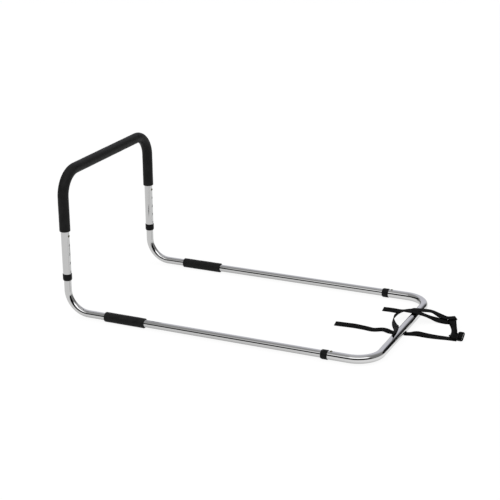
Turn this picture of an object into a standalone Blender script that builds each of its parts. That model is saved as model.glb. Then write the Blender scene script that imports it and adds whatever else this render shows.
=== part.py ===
"""Bed assist rail: two bent leg rails that lie under a mattress, a padded handle that telescopes
on their upright ends, and an end loop with an anchor strap on their lower ends.

Metres, +Z up. The origin is on the floor, under the middle of the whole object. +X runs along the
rails from the handle to the end loop, and +Y runs from the near rail to the far rail.
"""
import math

import bmesh
import bpy
import numpy as np
from mathutils import Matrix, Vector

# Fits shared by every piece
FIT_GAP = 0.0003            # between faces that touch on the real object
TUBE_SIDES = 20             # flats round a tube, a collar or a sleeve
BEND_STEPS = 8              # straight stretches in a bend of a tube

# Tubes
LEG_SPACING = 0.520         # near leg to far leg, centre to centre
OUTER_TUBE_R = 0.0127       # handle and end loop
INNER_TUBE_R = 0.0111       # leg rails, which slide inside the outer tubes
TUBE_WALL = 0.0012

# Leg rails
LEG_BEND_R = 0.069
LEG_ABOVE_BUTTON = 0.022    # top of the upright, above its button
RAIL_ENGAGEMENT = 0.0714    # length of rail inside the end loop and its collar

# Handle, with heights above the rails' centre line in its lowest setting
HANDLE_HEIGHT = 0.4312      # centre line of the top bar
HANDLE_BEND_R = 0.073
GRIP_ABOVE_BUTTON = 0.0143  # lower ends of the foam grip, above the buttons
GRIP_R = 0.0165
GRIP_END_ROUND = 0.0015

# Height adjustment
LEG_BUTTON_HEIGHT = 0.240   # above the rails' centre line
HOLE_PITCH = 0.0284
HOLE_COUNT = 5
HOLE_ABOVE_COLLAR = 0.0063  # lowest hole's centre, above the collar's top
HOLE_R = 0.0042
BUTTON_R = 0.0035
BUTTON_HOLE_PLAY = 0.0004   # between a button and its hole in the leg rail
BUTTON_FLANGE_R = 0.0046
BUTTON_FLANGE_T = 0.0010
BUTTON_STANDOUT = 0.0018    # above the outer tube
BUTTON_SIDES = 16

# Spring clips behind the buttons
CLIP_WIDTH = 0.0080
CLIP_T = 0.0006
CLIP_LENGTH = 0.032         # from the button's axis to the fold
CLIP_PAD = 0.005            # flat length on each side of the button's axis
CLIP_FOLD_R = 0.0010

# Collars on the ends of the outer tubes
COLLAR_LENGTH = 0.0208
COLLAR_R = 0.0140
COLLAR_LIP = 0.0040         # depth of the end that closes in on the inner tube
COLLAR_NOSE_R = 0.0124      # outer radius at the small end
COLLAR_ROUND = 0.0006

# Foam sleeves on the rails
SLEEVE_R = 0.0150
SLEEVE_START = 0.1275       # from the upright's centre line
SLEEVE_LENGTH = 0.134
SLEEVE_ROUND = 0.0025

# End loop
BAR_REACH = 0.9766          # upright's centre line to the end bar's centre line
LOOP_BEND_R = 0.072
LOOP_LEG = 0.153            # small ends of the loop's collars to the end bar's centre line
LOOP_BUTTON_INSET = 0.0294  # buttons that lock the end loop, from the small ends of the collars

# Anchor strap and its buckle, with places from the end bar's centre line
STRAP_WIDTH = 0.025
STRAP_T = 0.0020
STRAP_TURN_R = 0.120        # largest radius that the webbing turns in
STRAP_TURN_SHARE = 0.46
STRAP_TURN_STEPS = 4
BUCKLE_REACH = 0.180
BUCKLE_LENGTH = 0.0200
BUCKLE_WIDTH = 0.0320
BUCKLE_T = 0.0036
BUCKLE_Y = 0.0230
BUCKLE_ROLL = 35            # the far edge stands up, in degrees
BUCKLE_ROUND = 0.0030
BUCKLE_BAR = 0.0034         # width of the bars beside the slots
SLOT_WIDTH = 0.0049
SLOT_ROUND = 0.3            # share of a slot's width that its corners are rounded by
STRAP_CORNER = 0.020        # the strap's turn under the buckle, back from the buckle's end

# Places worked out from the sizes above. Heights are above the rails' centre line, and lengths
# are from the uprights' centre line.
FLAT = math.cos(math.pi / TUBE_SIDES)          # a flat's distance over a corner's
RAIL_Z = SLEEVE_R
OVERALL = GRIP_R + BAR_REACH + BUCKLE_REACH
HANDLE_X = GRIP_R - OVERALL / 2
BAR_X = HANDLE_X + BAR_REACH
SIDES = (("near", -1), ("far", 1))
LEG_TOP = LEG_BUTTON_HEIGHT + LEG_ABOVE_BUTTON
GRIP_FOOT = LEG_BUTTON_HEIGHT + GRIP_ABOVE_BUTTON
LOWEST_HOLE = LEG_BUTTON_HEIGHT - HOLE_PITCH * (HOLE_COUNT - 1)
HANDLE_FOOT = LOWEST_HOLE - HOLE_ABOVE_COLLAR - COLLAR_LENGTH
LOOP_FOOT = BAR_REACH - LOOP_LEG
LOOP_BUTTON = LOOP_FOOT + LOOP_BUTTON_INSET
RAIL_LENGTH = LOOP_FOOT + RAIL_ENGAGEMENT
TUBE_MOUTH = COLLAR_LIP + FIT_GAP              # an outer tube's end, from its collar's small end
INNER_BORE_FLAT = INNER_TUBE_R * FLAT - TUBE_WALL
STRAP_FLOOR = STRAP_T / 2
STRAP_SECOND = STRAP_FLOOR + STRAP_T + FIT_GAP
STRAP_OVER_BAR = RAIL_Z + OUTER_TUBE_R + FIT_GAP + STRAP_T / 2
BUCKLE_REST = STRAP_T + FIT_GAP
STRAP_TURN_X = BUCKLE_REACH - STRAP_CORNER

# The strap's routes: places from the end bar's centre line, chosen by hand, with heights above
# the floor. The last number rolls the webbing about its length, in degrees.
MAIN_STRAP_ROUTE = (
    (-0.212, -0.004, STRAP_FLOOR, 0),
    (-0.150, 0.001, STRAP_FLOOR, 0),
    (-0.090, -0.006, STRAP_FLOOR, 0),
    (-0.050, 0.008, STRAP_FLOOR, 0),
    (0.000, 0.000, STRAP_FLOOR, 0),
    (0.050, 0.017, STRAP_FLOOR, 0),
    (0.096, 0.012, STRAP_FLOOR, 0),
    (STRAP_TURN_X - 0.034, 0.013, STRAP_FLOOR, 0),
    (STRAP_TURN_X, 0.014, STRAP_FLOOR, 0),
    (STRAP_TURN_X - 0.021, 0.068, STRAP_FLOOR, 0),
    (STRAP_TURN_X - 0.034, 0.106, STRAP_SECOND, 0),
    (STRAP_TURN_X - 0.053, 0.172, STRAP_SECOND, 0),
    (0.062, 0.155, 0.012, 0),
    (0.040, 0.149, 0.026, 0),
    (0.018, 0.137, STRAP_OVER_BAR, 0),
    (-0.018, 0.131, STRAP_OVER_BAR, 0),
    (-0.062, 0.160, STRAP_SECOND, 0),
    (-0.092, 0.166, STRAP_FLOOR, 0),
    (-0.120, 0.157, STRAP_FLOOR, 0),
)
BAR_STRAP_ROUTE = (
    (STRAP_TURN_X - 0.042, 0.131, STRAP_FLOOR, 0),
    (0.060, 0.133, STRAP_FLOOR, 0),
    (0.020, 0.107, STRAP_OVER_BAR, 0),
    (-0.020, 0.102, STRAP_OVER_BAR, 0),
    (-0.044, 0.108, 0.0190, 35),
    (-0.056, 0.096, 0.0140, 64),
    (-0.055, 0.070, 0.0140, 75),
    (-0.046, 0.040, 0.0140, 70),
    (-0.032, 0.010, 0.0152, 62),
    (-0.020, -0.014, 0.0185, 56),
    (-0.0105, -0.040, 0.0260, 47),
    (-0.0045, -0.062, 0.0297, 25),
    (0.001, -0.078, 0.0303, 8),
)

# Name, colour, roughness, metallic
FINISHES = {
    "chrome": ((0.80, 0.80, 0.82), 0.12, 1.0),
    "black_foam": ((0.015, 0.015, 0.015), 0.75, 0.0),
    "black_plastic": ((0.012, 0.012, 0.012), 0.40, 0.0),
    "plated_steel": ((0.42, 0.38, 0.22), 0.35, 1.0),
    "spring_steel": ((0.45, 0.45, 0.46), 0.35, 1.0),
    "black_webbing": ((0.012, 0.012, 0.013), 0.85, 0.0),
}


def clear_scene():
    for item in list(bpy.data.objects):
        bpy.data.objects.remove(item, do_unlink=True)


def make_collection(name):
    collection = bpy.data.collections.new(name)
    bpy.context.scene.collection.children.link(collection)
    return collection


def make_materials():
    materials = {}
    for name, (colour, roughness, metallic) in FINISHES.items():
        material = bpy.data.materials.new(name)
        material.use_nodes = True
        shader = material.node_tree.nodes["Principled BSDF"]
        shader.inputs["Base Color"].default_value = (*colour, 1.0)
        shader.inputs["Roughness"].default_value = roughness
        shader.inputs["Metallic"].default_value = metallic
        materials[name] = material
    return materials


def add_object(name, mesh, place, collection, material=None, parent=None, turn=(0, 0, 0)):
    """Link a mesh at a world place, under its parent empty if it has one."""
    item = bpy.data.objects.new(name, mesh)
    collection.objects.link(item)
    item.location = Vector(place)
    item.rotation_euler = turn
    if parent:
        item.parent = parent
        item.location = Vector(place) - parent.location
    if material:
        mesh.materials.append(material)
    return item


def add_empty(name, place, collection):
    empty = bpy.data.objects.new(name, None)
    collection.objects.link(empty)
    empty.location = place
    empty.empty_display_size = 0.03
    return empty


def smooth(mesh, angle=35):
    mesh.shade_smooth()
    mesh.set_sharp_from_angle(angle=math.radians(angle))


def rounded_path(corners, largest_radius, steps, share=None):
    """Points along straight runs whose corners are arcs. The arcs have one radius, or, with a
    share, as large a radius as uses that share of the shorter run beside them."""
    corners = [Vector(corner) for corner in corners]
    path = [corners[0]]
    for before, corner, after in zip(corners, corners[1:], corners[2:]):
        into = (corner - before).normalized()
        out = (after - corner).normalized()
        turn = into.angle(out)
        radius = largest_radius
        if share:
            run = min((corner - before).length, (after - corner).length)
            radius = min(radius, share * run / math.tan(turn / 2))
        inward = (out - into * math.cos(turn)).normalized()
        centre = corner - into * radius * math.tan(turn / 2) + inward * radius
        for step in range(steps + 1):
            angle = turn * step / steps
            path.append(centre - inward * radius * math.cos(angle) + into * radius * math.sin(angle))
    path.append(corners[-1])
    return path


def tube_mesh(name, path, radius):
    """A tube's outer surface along a path, made as a bevelled curve and read back as a mesh."""
    curve = bpy.data.curves.new(name, "CURVE")
    curve.dimensions = "3D"
    curve.bevel_depth = radius
    curve.bevel_resolution = (TUBE_SIDES - 4) // 2
    spline = curve.splines.new("POLY")
    spline.points.add(len(path) - 1)
    for point, place in zip(spline.points, path):
        point.co = (*place, 1.0)
    guide = bpy.data.objects.new(name + "_curve", curve)
    bpy.context.scene.collection.objects.link(guide)
    bpy.context.view_layer.update()
    evaluated = guide.evaluated_get(bpy.context.evaluated_depsgraph_get())
    mesh = bpy.data.meshes.new_from_object(evaluated)
    mesh.name = name
    bpy.data.objects.remove(guide, do_unlink=True)
    smooth(mesh)
    return mesh


def solidify(item, thickness, offset):
    modifier = item.modifiers.new("wall", "SOLIDIFY")
    modifier.thickness = thickness
    modifier.offset = offset
    modifier.use_even_offset = True


def bevel(item, width, segments, angle=60):
    modifier = item.modifiers.new("rounding", "BEVEL")
    modifier.width = width
    modifier.segments = segments
    modifier.limit_method = "ANGLE"
    modifier.angle_limit = math.radians(angle)


def boolean(item, other, operation):
    modifier = item.modifiers.new(operation.lower() + "_" + other.name, "BOOLEAN")
    modifier.operation = operation
    modifier.solver = "EXACT"
    modifier.object = other


def turned(name, profile, sides, place, collection, material, parent=None, turn=(0, 0, 0)):
    """A ring turned round its local Z axis from a closed profile of (radius, height) points.
    The profile runs down its outer side."""
    mesh = bpy.data.meshes.new(name)
    edges = [(index, (index + 1) % len(profile)) for index in range(len(profile))]
    mesh.from_pydata([(radius, 0.0, height) for radius, height in profile], edges, [])
    item = add_object(name, mesh, place, collection, material, parent, turn)
    screw = item.modifiers.new("turning", "SCREW")
    screw.axis = "Z"
    screw.angle = math.tau
    screw.steps = sides
    screw.render_steps = sides
    screw.use_merge_vertices = True
    screw.merge_threshold = 0.00001
    screw.use_smooth_shade = True
    return item


def hole_cutter(name, radius, place, turn, collection, count=1, pitch=(0, 0, 0)):
    """A row of round cutters that stand from a tube's axis out through one wall."""
    depth = 1.6 * OUTER_TUBE_R
    mesh = bpy.data.meshes.new(name)
    shape = bmesh.new()
    bmesh.ops.create_cone(shape, cap_ends=True, segments=BUTTON_SIDES, radius1=radius,
                          radius2=radius, depth=depth)
    bmesh.ops.translate(shape, verts=shape.verts, vec=(0, 0, OUTER_TUBE_R / 3 + depth / 2))
    shape.to_mesh(mesh)
    shape.free()
    item = add_object(name, mesh, place, collection, turn=turn)
    if count > 1:
        row = item.modifiers.new("row", "ARRAY")
        row.count = count
        row.use_relative_offset = False
        row.use_constant_offset = True
        row.constant_offset_displace = pitch
    item.hide_render = True
    item.display_type = "WIRE"
    return item


def tube(name, path, radius, place, collection, material, cutters, parent=None):
    """A hollow tube with its holes cut."""
    item = add_object(name, tube_mesh(name, path, radius), place, collection, material, parent)
    solidify(item, TUBE_WALL, -1)
    for cutter in cutters:
        boolean(item, cutter, "DIFFERENCE")
    return item


def bore(radius):
    """A ring's bore that clears a round piece of this radius at the middle of each flat."""
    return (radius + FIT_GAP) / FLAT


OUTWARD_X = (0, math.pi / 2, 0)       # turns local +Z to +X
OUTWARD_Z = (0, 0, 0)


def make_leg_rails(parts, cutters, materials):
    path = rounded_path(((0, 0, LEG_TOP), (0, 0, 0), (RAIL_LENGTH, 0, 0)), LEG_BEND_R, BEND_STEPS)
    hole_r = BUTTON_R + BUTTON_HOLE_PLAY
    for side, sign in SIDES:
        y = sign * LEG_SPACING / 2
        leg_hole = hole_cutter(f"{side}_leg_hole", hole_r, (HANDLE_X, y, RAIL_Z + LEG_BUTTON_HEIGHT),
                               OUTWARD_X, cutters)
        rail_hole = hole_cutter(f"{side}_rail_hole", hole_r, (HANDLE_X + LOOP_BUTTON, y, RAIL_Z),
                                OUTWARD_Z, cutters)
        tube(f"leg_rail_{side}", path, INNER_TUBE_R, (HANDLE_X, y, RAIL_Z), parts,
             materials["chrome"], (leg_hole, rail_hole))


def make_rail_sleeves(parts, materials):
    corner = SLEEVE_R / FLAT
    inside = bore(INNER_TUBE_R)
    end = SLEEVE_LENGTH
    profile = (
        (inside, end),
        (corner - SLEEVE_ROUND, end),
        (corner - SLEEVE_ROUND * 0.3, end - SLEEVE_ROUND * 0.3),
        (corner, end - SLEEVE_ROUND),
        (corner, SLEEVE_ROUND),
        (corner - SLEEVE_ROUND * 0.3, SLEEVE_ROUND * 0.3),
        (corner - SLEEVE_ROUND, 0.0),
        (inside, 0.0),
    )
    half_flat = math.pi / TUBE_SIDES
    for side, sign in SIDES:
        place = (HANDLE_X + SLEEVE_START, sign * LEG_SPACING / 2, RAIL_Z)
        sleeve = turned(f"rail_sleeve_{side}", profile, TUBE_SIDES, place, parts,
                        materials["black_foam"], turn=OUTWARD_X)
        sleeve.data.transform(Matrix.Rotation(half_flat, 4, "Z"))


def make_handle(parts, cutters, materials):
    slider = add_empty("handle_slider", (HANDLE_X, 0, RAIL_Z), parts)
    half = LEG_SPACING / 2
    tube_foot = HANDLE_FOOT + TUBE_MOUTH
    place = (HANDLE_X, 0, RAIL_Z)
    rows = []
    for side, sign in SIDES:
        rows.append(hole_cutter(f"{side}_height_holes", HOLE_R,
                                (HANDLE_X, sign * half, RAIL_Z + LEG_BUTTON_HEIGHT),
                                OUTWARD_X, cutters, HOLE_COUNT, (HOLE_PITCH, 0, 0)))
    path = rounded_path(((0, -half, tube_foot), (0, -half, HANDLE_HEIGHT), (0, half, HANDLE_HEIGHT),
                         (0, half, tube_foot)), HANDLE_BEND_R, BEND_STEPS)
    tube("handle_tube", path, OUTER_TUBE_R, place, parts, materials["chrome"], rows, slider)

    grip_path = rounded_path(((0, -half, GRIP_FOOT), (0, -half, HANDLE_HEIGHT),
                              (0, half, HANDLE_HEIGHT), (0, half, GRIP_FOOT)),
                             HANDLE_BEND_R, BEND_STEPS)
    grip = add_object("foam_grip", tube_mesh("foam_grip", grip_path, GRIP_R), place, parts,
                      materials["black_foam"], slider)
    solidify(grip, GRIP_R * FLAT - OUTER_TUBE_R - FIT_GAP, -1)
    bevel(grip, GRIP_END_ROUND, 2)

    for side, sign in SIDES:
        make_collar(f"handle_collar_{side}", (HANDLE_X, sign * half, RAIL_Z + HANDLE_FOOT),
                    OUTWARD_Z, parts, materials, slider)


def make_collar(name, place, turn, parts, materials, parent):
    """A plastic end that grips an outer tube and closes in on the tube that slides inside it.
    Its small end is at the local origin."""
    corner = COLLAR_R / FLAT
    profile = (
        (bore(OUTER_TUBE_R), COLLAR_LENGTH),
        (corner - COLLAR_ROUND, COLLAR_LENGTH),
        (corner, COLLAR_LENGTH - COLLAR_ROUND),
        (corner, COLLAR_LIP),
        (COLLAR_NOSE_R + (corner - COLLAR_NOSE_R) * 0.7, COLLAR_LIP * 0.4),
        (COLLAR_NOSE_R, 0.0),
        (bore(INNER_TUBE_R), 0.0),
        (bore(INNER_TUBE_R), COLLAR_LIP),
        (bore(OUTER_TUBE_R), COLLAR_LIP),
    )
    turned(name, profile, TUBE_SIDES, place, parts, materials["black_plastic"], parent, turn)


def make_end_loop(parts, cutters, materials):
    slider = add_empty("end_loop_slider", (BAR_X, 0, RAIL_Z), parts)
    half = LEG_SPACING / 2
    mouth = LOOP_FOOT + TUBE_MOUTH
    holes = []
    for side, sign in SIDES:
        holes.append(hole_cutter(f"{side}_loop_hole", HOLE_R,
                                 (HANDLE_X + LOOP_BUTTON, sign * half, RAIL_Z), OUTWARD_Z, cutters))
    path = rounded_path(((mouth, -half, 0), (BAR_REACH, -half, 0), (BAR_REACH, half, 0),
                         (mouth, half, 0)), LOOP_BEND_R, BEND_STEPS)
    tube("end_loop", path, OUTER_TUBE_R, (HANDLE_X, 0, RAIL_Z), parts, materials["chrome"], holes,
         slider)
    for side, sign in SIDES:
        make_collar(f"base_collar_{side}", (HANDLE_X + LOOP_FOOT, sign * half, RAIL_Z), OUTWARD_X,
                    parts, materials, slider)
    return slider


def make_snap_button(name, place, turn, parts, materials):
    """A round button on a flange. Local +Z points out of the tube, and the origin is on the
    tube's axis."""
    seat = math.sqrt(INNER_BORE_FLAT ** 2 - BUTTON_FLANGE_R ** 2) - FIT_GAP
    tip = OUTER_TUBE_R + BUTTON_STANDOUT
    dome = 0.5 * BUTTON_R
    mesh = bpy.data.meshes.new(name)
    profile = (
        (0.0, tip),
        (BUTTON_R * 0.55, tip - dome * 0.16),
        (BUTTON_R * 0.88, tip - dome * 0.52),
        (BUTTON_R, tip - dome),
        (BUTTON_R, seat),
        (BUTTON_FLANGE_R, seat),
        (BUTTON_FLANGE_R, seat - BUTTON_FLANGE_T),
        (0.0, seat - BUTTON_FLANGE_T),
    )
    edges = [(index, index + 1) for index in range(len(profile) - 1)]
    mesh.from_pydata([(radius, 0.0, height) for radius, height in profile], edges, [])
    item = add_object(name, mesh, place, parts, materials["plated_steel"], turn=turn)
    screw = item.modifiers.new("turning", "SCREW")
    screw.axis = "Z"
    screw.angle = math.tau
    screw.steps = BUTTON_SIDES
    screw.render_steps = BUTTON_SIDES
    screw.use_merge_vertices = True
    screw.merge_threshold = 0.00001
    screw.use_smooth_shade = True
    return seat - BUTTON_FLANGE_T


def make_spring_clip(name, place, turn, under_button, parts, materials):
    """A folded steel strip inside the tube that pushes its button out and bears on the far wall.
    Local +Z points at the button, and the fold lies on local +X."""
    front = under_button - FIT_GAP - CLIP_T / 2
    back = math.sqrt(INNER_BORE_FLAT ** 2 - (CLIP_WIDTH / 2) ** 2) - FIT_GAP - CLIP_T / 2
    outline = (
        (-CLIP_PAD, front),
        (CLIP_PAD, front),
        (CLIP_LENGTH - CLIP_FOLD_R, CLIP_FOLD_R),
        (CLIP_LENGTH, 0.0),
        (CLIP_LENGTH - CLIP_FOLD_R, -CLIP_FOLD_R),
        (CLIP_PAD, -back),
        (-CLIP_PAD, -back),
    )
    shape = bmesh.new()
    start = [shape.verts.new((x, -CLIP_WIDTH / 2, z)) for x, z in outline]
    edges = [shape.edges.new(pair) for pair in zip(start, start[1:])]
    swept = bmesh.ops.extrude_edge_only(shape, edges=edges)
    far = [part for part in swept["geom"] if isinstance(part, bmesh.types.BMVert)]
    bmesh.ops.translate(shape, verts=far, vec=(0, CLIP_WIDTH, 0))
    mesh = bpy.data.meshes.new(name)
    shape.to_mesh(mesh)
    shape.free()
    item = add_object(name, mesh, place, parts, materials["spring_steel"], turn=turn)
    solidify(item, CLIP_T, 0)


def make_locks(parts, materials):
    """The buttons and clips: in the uprights for the handle's height, and in the rails' lower
    ends for the end loop."""
    for side, sign in SIDES:
        y = sign * LEG_SPACING / 2
        leg = (HANDLE_X, y, RAIL_Z + LEG_BUTTON_HEIGHT)
        under = make_snap_button(f"leg_button_{side}", leg, OUTWARD_X, parts, materials)
        make_spring_clip(f"leg_clip_{side}", leg, OUTWARD_X, under, parts, materials)
        base = (HANDLE_X + LOOP_BUTTON, y, RAIL_Z)
        under = make_snap_button(f"base_button_{side}", base, OUTWARD_Z, parts, materials)
        make_spring_clip(f"base_clip_{side}", base, (0, 0, math.pi), under, parts, materials)


def make_strap(name, route, parts, materials, parent):
    """A flat strip of webbing along a route, level from edge to edge where its roll is 0."""
    path = rounded_path([place[:3] for place in route], STRAP_TURN_R, STRAP_TURN_STEPS,
                        STRAP_TURN_SHARE)
    runs = [(ahead - here).length for here, ahead in zip(path, path[1:])]
    along = np.concatenate(([0.0], np.cumsum(runs)))
    first, turn = 1 + STRAP_TURN_STEPS // 2, STRAP_TURN_STEPS + 1
    corners = [0] + [first + turn * index for index in range(len(route) - 2)] + [len(path) - 1]
    rolls = np.radians(np.interp(along, along[corners], [place[3] for place in route]))
    shape = bmesh.new()
    pairs = []
    for index, (point, roll) in enumerate(zip(path, rolls)):
        ahead = (path[min(index + 1, len(path) - 1)] - path[max(index - 1, 0)]).normalized()
        level = Vector((-ahead.y, ahead.x, 0)).normalized()
        across = (level * math.cos(roll) + ahead.cross(level) * math.sin(roll)) * STRAP_WIDTH / 2
        pairs.append((shape.verts.new(point - across), shape.verts.new(point + across)))
    for (right, left), (next_right, next_left) in zip(pairs, pairs[1:]):
        shape.faces.new((right, next_right, next_left, left))
    mesh = bpy.data.meshes.new(name)
    shape.to_mesh(mesh)
    shape.free()
    smooth(mesh)
    strap = add_object(name, mesh, (BAR_X, 0, 0), parts, materials["black_webbing"], parent)
    solidify(strap, STRAP_T, 0)


def rounded_rectangle(spline, low, high, radius, steps=4):
    """Set a closed spline to a rectangle with round corners."""
    centres = ((high[0] - radius, high[1] - radius, 0), (low[0] + radius, high[1] - radius, 90),
               (low[0] + radius, low[1] + radius, 180), (high[0] - radius, low[1] + radius, 270))
    points = []
    for x, y, start in centres:
        for step in range(steps + 1):
            angle = math.radians(start + 90 * step / steps)
            points.append((x + radius * math.cos(angle), y + radius * math.sin(angle), 0, 1))
    spline.points.add(len(points) - 1)
    for point, place in zip(spline.points, points):
        point.co = place
    spline.use_cyclic_u = True


def make_buckle(parts, materials, parent):
    """A three-bar slide buckle that leans on the strap, with its near edge down."""
    half = BUCKLE_WIDTH / 2
    curve = bpy.data.curves.new("strap_buckle", "CURVE")
    curve.dimensions = "2D"
    curve.fill_mode = "BOTH"
    curve.extrude = BUCKLE_T / 2
    rounded_rectangle(curve.splines.new("POLY"), (-BUCKLE_LENGTH, -half), (0, half), BUCKLE_ROUND)
    for slot in range(2):
        low_x = -BUCKLE_LENGTH + BUCKLE_BAR + slot * (SLOT_WIDTH + BUCKLE_BAR)
        rounded_rectangle(curve.splines.new("POLY"), (low_x, -half + BUCKLE_BAR),
                          (low_x + SLOT_WIDTH, half - BUCKLE_BAR), SLOT_WIDTH * SLOT_ROUND)
    guide = bpy.data.objects.new("strap_buckle_outline", curve)
    bpy.context.scene.collection.objects.link(guide)
    bpy.context.view_layer.update()
    evaluated = guide.evaluated_get(bpy.context.evaluated_depsgraph_get())
    mesh = bpy.data.meshes.new_from_object(evaluated)
    bpy.data.objects.remove(guide, do_unlink=True)
    welded = bmesh.new()
    welded.from_mesh(mesh)
    bmesh.ops.remove_doubles(welded, verts=welded.verts, dist=0.00001)
    welded.to_mesh(mesh)
    welded.free()
    roll = math.radians(BUCKLE_ROLL)
    height = BUCKLE_REST + half * math.sin(roll) + BUCKLE_T / 2 * math.cos(roll)
    place = (BAR_X + BUCKLE_REACH, BUCKLE_Y, height)
    add_object("strap_buckle", mesh, place, parts, materials["black_plastic"], parent,
               (roll, 0, 0))


def main():
    clear_scene()
    parts = make_collection("bed_assist_rail")
    cutters = make_collection("cutters")
    materials = make_materials()
    make_leg_rails(parts, cutters, materials)
    make_rail_sleeves(parts, materials)
    make_handle(parts, cutters, materials)
    loop = make_end_loop(parts, cutters, materials)
    make_locks(parts, materials)
    make_strap("anchor_strap", MAIN_STRAP_ROUTE, parts, materials, loop)
    make_strap("bar_strap", BAR_STRAP_ROUTE, parts, materials, loop)
    make_buckle(parts, materials, loop)


main()
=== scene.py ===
import math

import bmesh
import bpy
import numpy as np
from mathutils import Matrix, Vector


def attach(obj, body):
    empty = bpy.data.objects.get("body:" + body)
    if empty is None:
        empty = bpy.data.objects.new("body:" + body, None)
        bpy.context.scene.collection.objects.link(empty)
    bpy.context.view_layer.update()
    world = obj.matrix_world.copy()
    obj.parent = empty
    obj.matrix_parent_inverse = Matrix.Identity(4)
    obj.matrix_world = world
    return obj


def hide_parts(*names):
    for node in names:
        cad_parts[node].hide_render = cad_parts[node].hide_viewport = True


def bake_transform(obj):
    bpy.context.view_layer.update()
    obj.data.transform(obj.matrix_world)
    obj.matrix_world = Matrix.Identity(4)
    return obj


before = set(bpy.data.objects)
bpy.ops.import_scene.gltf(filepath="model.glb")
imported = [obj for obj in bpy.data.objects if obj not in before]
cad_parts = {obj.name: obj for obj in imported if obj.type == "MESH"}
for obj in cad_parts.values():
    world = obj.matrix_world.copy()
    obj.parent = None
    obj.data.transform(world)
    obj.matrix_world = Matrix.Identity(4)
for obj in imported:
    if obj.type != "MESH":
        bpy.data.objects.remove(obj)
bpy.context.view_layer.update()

# ---------------------------------------------------------------- sizes, in metres
LEG_SPACING = 0.520
SIDES = (("near", -1), ("far", 1))
HANDLE_X = -0.57005
BAR_X = 0.40655
RAIL_Z = 0.015
OUTER_R = 0.0127
INNER_R = 0.0111
WALL = 0.0012
LEG_BEND_R = 0.069
LEG_TOP = 0.262
RAIL_LENGTH = 0.895
HANDLE_HEIGHT = 0.4312
HANDLE_BEND_R = 0.073
HANDLE_FOOT = 0.0993
GRIP_FOOT = 0.2543
GRIP_R = 0.0165
GRIP_ROUND = 0.0022
LEG_BUTTON = 0.240
HOLE_PITCH = 0.0284
HOLE_COUNT = 5
HOLE_R = 0.0042
BUTTON_R = 0.0038
BUTTON_HOLE_PLAY = 0.0002
BUTTON_FLANGE_R = 0.0046
BUTTON_FLANGE_T = 0.001
BUTTON_STANDOUT = 0.0018    # above the outer tube
COLLAR_LENGTH = 0.0208
COLLAR_R = 0.0140
COLLAR_LIP = 0.0040
NOSE_R = 0.0124
SLEEVE_R = 0.0150
SLEEVE_START = 0.1275
SLEEVE_LENGTH = 0.134
SLEEVE_ROUND = 0.0026
LOOP_BEND_R = 0.072
LOOP_FOOT = 0.8236
LOOP_BUTTON = 0.8530
GAP = 0.0003
CLIP_WIDTH = 0.0080
CLIP_T = 0.0006
CLIP_LENGTH = 0.032
CLIP_PAD = 0.005
STRAP_WIDTH = 0.025
STRAP_T = 0.0018
TUBE_MOUTH = COLLAR_LIP + GAP
HALF = LEG_SPACING / 2
AROUND = 72                 # sides of a round piece
FOAM_AROUND = 96            # and of a foam one
FLAT = math.cos(math.pi / 20)   # a flat's distance over a corner's, on a 20-sided solid
BEND_STEPS = 30


# ---------------------------------------------------------------- camera, floor, light
CAMERA_PLACE = (1.55628, -3.57323, 1.57734)
CAMERA_ANGLES = (-24.6459, 19.3987, -0.4975)    # yaw, pitch and roll, in degrees
CAMERA_LENS = 99.3226


def make_camera():
    yaw, pitch, roll = (math.radians(angle) for angle in CAMERA_ANGLES)
    ahead = Vector((math.sin(yaw) * math.cos(pitch), math.cos(yaw) * math.cos(pitch),
                    -math.sin(pitch)))
    right = Vector((math.cos(yaw), -math.sin(yaw), 0.0))
    up = right.cross(ahead)
    rolled_right = right * math.cos(roll) + up * math.sin(roll)
    rolled_up = up * math.cos(roll) - right * math.sin(roll)
    data = bpy.data.cameras.new("camera")
    data.lens = CAMERA_LENS
    data.sensor_width = 36.0
    data.clip_end = 100.0
    camera = bpy.data.objects.new("camera", data)
    bpy.context.scene.collection.objects.link(camera)
    turn = Matrix((rolled_right, rolled_up, -ahead)).transposed().to_4x4()
    camera.matrix_world = Matrix.Translation(CAMERA_PLACE) @ turn
    bpy.context.scene.camera = camera


def node_tree(owner):
    owner.use_nodes = True
    tree = owner.node_tree
    tree.nodes.clear()
    return tree


def add_node(tree, kind, **settings):
    node = tree.nodes.new(kind)
    for key, value in settings.items():
        if key.startswith("in_"):
            node.inputs[key[3:].replace("_", " ")].default_value = value
        else:
            setattr(node, key, value)
    return node


def ramp(tree, source, stops):
    """A colour ramp of (position, grey or colour) stops fed by a socket."""
    node = tree.nodes.new("ShaderNodeValToRGB")
    elements = node.color_ramp.elements
    while len(elements) < len(stops):
        elements.new(0.5)
    for element, (position, colour) in zip(elements, stops):
        element.position = position
        if not hasattr(colour, "__len__"):
            colour = (colour, colour, colour)
        element.color = (*colour, 1.0)
    tree.links.new(source, node.inputs["Fac"])
    return node.outputs["Color"]


def math_node(tree, operation, first, second=None):
    node = tree.nodes.new("ShaderNodeMath")
    node.operation = operation
    for socket, value in zip(node.inputs, (first, second)):
        if value is None:
            continue
        if isinstance(value, (int, float)):
            socket.default_value = value
        else:
            tree.links.new(value, socket)
    return node.outputs[0]


SKY_GREY = (0.37, 0.37, 0.37)
SKY_BRIGHT = (0.70, 0.70, 0.76)
SKY_SPOT = (0.85, 0.85, 0.85)
SKY_STRIP = (1.7, 1.7, 1.72)
SKY_TOP = (0.62, 0.62, 0.63)
SKY_DARK = (0.006, 0.006, 0.007)
SKY_DIM = (0.24, 0.24, 0.24)


def band(tree, value, low, high):
    """A smooth step of a value, from 0 at low to 1 at high."""
    node = tree.nodes.new("ShaderNodeMapRange")
    node.interpolation_type = "SMOOTHSTEP"
    tree.links.new(value, node.inputs["Value"])
    node.inputs["From Min"].default_value = low
    node.inputs["From Max"].default_value = high
    return node.outputs["Result"]


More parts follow.
